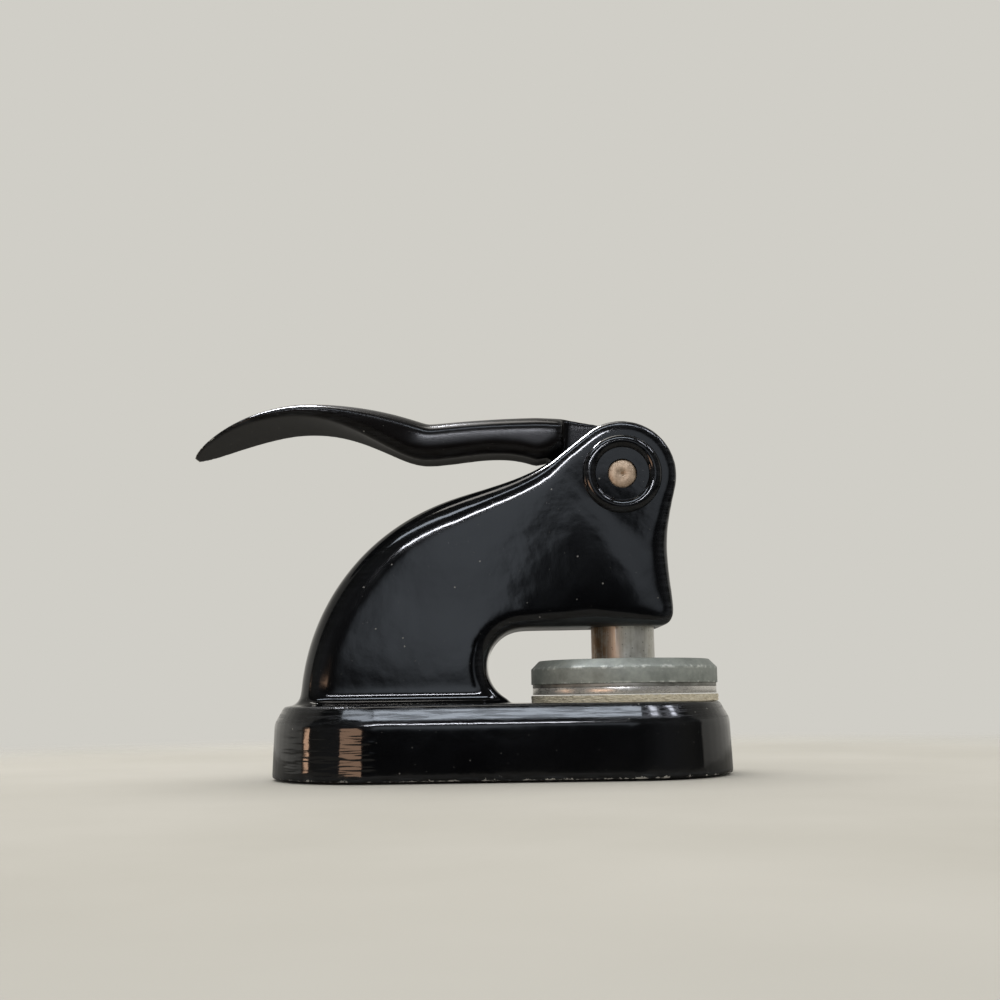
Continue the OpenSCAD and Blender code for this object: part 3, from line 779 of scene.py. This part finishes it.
def makeFloor():
    look = floorLook
    bpy.ops.mesh.primitive_circle_add(vertices=96, radius=look["radius"], fill_type="NGON",
                                      location=(0, 0, -look["below"]))
    floor = bpy.context.active_object
    floor.name = "sheetFloor"
    material, tree, shader, place = newMaterial("paleSheet")
    clouds = addNode(tree, "TexNoise", {"Vector": place, **look["clouds"]})
    colour = addNode(tree, "ValToRGB", {"Fac": clouds},
                     stops=[(0.3, look["sheetLow"]), (0.7, look["sheet"])])
    mirroredShadeMask = addNode(tree, "LightPath", output="Is Glossy Ray")
    # painted shade: the sheet's colour is darkened towards black wherever a glossy ray sees it
    colour = layOver(tree, mirroredShadeMask, 1 - look["mirrored"], colour, "#000000")
    tree.links.new(colour, shader.inputs["Base Color"])
    shader.inputs["Roughness"].default_value = look["rough"]
    shader.inputs["Specular IOR Level"].default_value = look["specular"]
    far = addNode(tree, "VectorMath", {0: place}, "Value", operation="LENGTH")
    fade = addNode(tree, "MapRange", {"Value": far, "From Min": look["fadeFrom"],
                                      "From Max": look["fadeTo"]}, interpolation_type="SMOOTHSTEP")
    clear = addNode(tree, "BsdfTransparent")
    mixed = addNode(tree, "MixShader", {0: fade, 1: shader.outputs[0], 2: clear})
    tree.links.new(mixed, tree.nodes["Material Output"].inputs["Surface"])
    floor.data.materials.append(material)


# What the enamel mirrors: dim in front of the press and pale behind it (front), darker below the
# press than above (height), a bluish window sheen and a black patch. A glow has a direction, the
# angles in degrees where it is full and where it ends, and a colour.
roomLook = {
    "plain": "#e9e7e3",
    "front": [(0.0, "#17181a"), (0.015, "#26272a"), (0.12, "#5c5d60"), (0.3, "#5a5a57"),
              (0.46, "#3c3c3a"), (0.49, "#b9b7b1"), (1.0, "#cfccc4")],
    "height": [(0.0, 0.22), (0.46, 0.25), (0.505, 1), (0.62, 1), (0.75, 0.5), (1.0, 0.5)],
    "glows": (((0.12, -0.97, 0.20), 2, 8, "#c4ccd6"), ((-0.03, -0.983, 0.175), 1, 7.5, "#e4eefa"),
              ((0.064, -0.99, 0.125), 2.2, 3.7, "#010102")),
}


def aimedGlow(tree, direction, towards, near, far):
    # 1 where the ray runs towards a direction, 0 away from it
    aim = addNode(tree, "VectorMath", {0: direction, 1: Vector(towards).normalized()}, "Value",
                  operation="DOT_PRODUCT")
    return addNode(tree, "MapRange", {"Value": aim, "From Min": math.cos(math.radians(far)),
                                      "From Max": math.cos(math.radians(near))},
                   interpolation_type="SMOOTHSTEP")


def makeWorld():
    look = roomLook
    world = bpy.data.worlds.new("paleRoom")
    bpy.context.scene.world = world
    world.use_nodes = True
    tree = world.node_tree
    tree.nodes.clear()
    rays = addNode(tree, "LightPath").node.outputs
    direction = addNode(tree, "TexCoord", output="Generated")
    _, y, z = addNode(tree, "SeparateXYZ", {"Vector": direction}).node.outputs
    depth, rise = (addNode(tree, "MapRange", {"Value": along, "From Min": -1})
                   for along in (y, z))
    mirrored = addNode(tree, "ValToRGB", {"Fac": depth}, stops=look["front"])
    level = addNode(tree, "ValToRGB", {"Fac": rise}, stops=look["height"])
    mirrored = addNode(tree, "Mix", {0: 1, 6: mirrored, 7: level}, 2, data_type="RGBA",
                       blend_type="MULTIPLY")
    for towards, near, far, colour in look["glows"]:
        glow = aimedGlow(tree, direction, towards, near, far)
        mirrored = addNode(tree, "Mix", {0: glow, 6: mirrored, 7: colour}, 2, data_type="RGBA")
    plain = addNode(tree, "Mix", {0: rays["Is Glossy Ray"], 6: look["plain"], 7: mirrored}, 2,
                    data_type="RGBA")
    seen = addNode(tree, "Math", {0: rays["Is Camera Ray"], 1: rays["Is Transmission Ray"]},
                   operation="MAXIMUM")
    colour = addNode(tree, "Mix", {0: seen, 6: plain, 7: floorLook["sheet"]}, 2, data_type="RGBA")
    ground = addNode(tree, "Background", {"Color": colour})
    addNode(tree, "OutputWorld", {"Surface": ground})


# each lamp: place, what it faces, width, height, glow, colour
lamps = {
    "windowFront": ((0.026, -0.236, 0.347), (0.01, 0, 0.02), 0.218, 0.045, 8, "#e8f2ff"),
    "windowLeft": ((-0.165, -0.214, 0.347), (-0.02, 0, 0.02), 0.18, 0.045, 6, "#e8f2ff"),
    "windowPaneA": ((0.206, -0.202, 0.350), (0.03, -0.02, 0.014), 0.045, 0.07, 14, "#eef2ff"),
    "windowPaneB": ((0.327, -0.133, 0.350), (0.03, -0.02, 0.014), 0.045, 0.07, 14, "#eef2ff"),
    "shoulderBack": ((-0.15, 0.126, 0.43), (-0.01, 0, 0.045), 0.24, 0.05, 130, "#f4f6ff"),
    "shoulderFront": ((-0.045, -0.424, 0.205), (-0.01, 0, 0.045), 0.17, 0.014, 52, "#f4f6ff"),
    "warmLeft": ((-0.5, -0.09, 0.025), (-0.04, -0.01, 0.008), 0.03, 0.12, 7, "#ffcfac"),
    "warmFront": ((-0.27, -0.46, 0.025), (-0.03, -0.02, 0.008), 0.2, 0.1, 3.2, "#ffcfac"),
    "overhead": ((-0.12, 0.14, 0.55), (0, 0, 0.03), 0.34, 0.34, 3, "#fffaf2"),
}


def placeLamps():
    for name, (place, target, width, height, glow, colour) in lamps.items():
        data = bpy.data.lights.new(name, "AREA")
        data.shape = "RECTANGLE"
        data.size, data.size_y = width, height
        data.energy = glow * math.pi * width * height
        data.color = linear(colour)[:3]
        lamp = bpy.data.objects.new(name, data)
        bpy.context.scene.collection.objects.link(lamp)
        # only the broad lamp lights the sheet, the others are there to be mirrored
        lamp.visible_diffuse = name == "overhead"
        lamp.location = place
        aim = Vector(target) - Vector(place)
        lamp.rotation_euler = aim.to_track_quat("-Z", "Y").to_euler()


# fitted to the photograph
cameraSizes = {
    "place": (0.000237, -0.2887, 0.01726), "pitch": 8.84, "roll": -0.8135, "lens": 45.72,
    "sensor": 36, "clipStart": 0.01,
}


def makeCamera():
    data = bpy.data.cameras.new("photoCamera")
    camera = bpy.data.objects.new("photoCamera", data)
    bpy.context.scene.collection.objects.link(camera)
    data.sensor_width = cameraSizes["sensor"]
    data.lens = cameraSizes["lens"]
    data.clip_start = cameraSizes["clipStart"]
    camera.location = cameraSizes["place"]
    camera.rotation_euler = (math.radians(90 + cameraSizes["pitch"]), 0, 0)
    camera.rotation_euler.rotate_axis("Z", math.radians(cameraSizes["roll"]))
    bpy.context.scene.camera = camera


makeFloor()
makeWorld()
placeLamps()
makeCamera()
print("room, lamps and camera placed")

bpy.context.scene.view_settings.view_transform = "Standard"

print("scene ready")
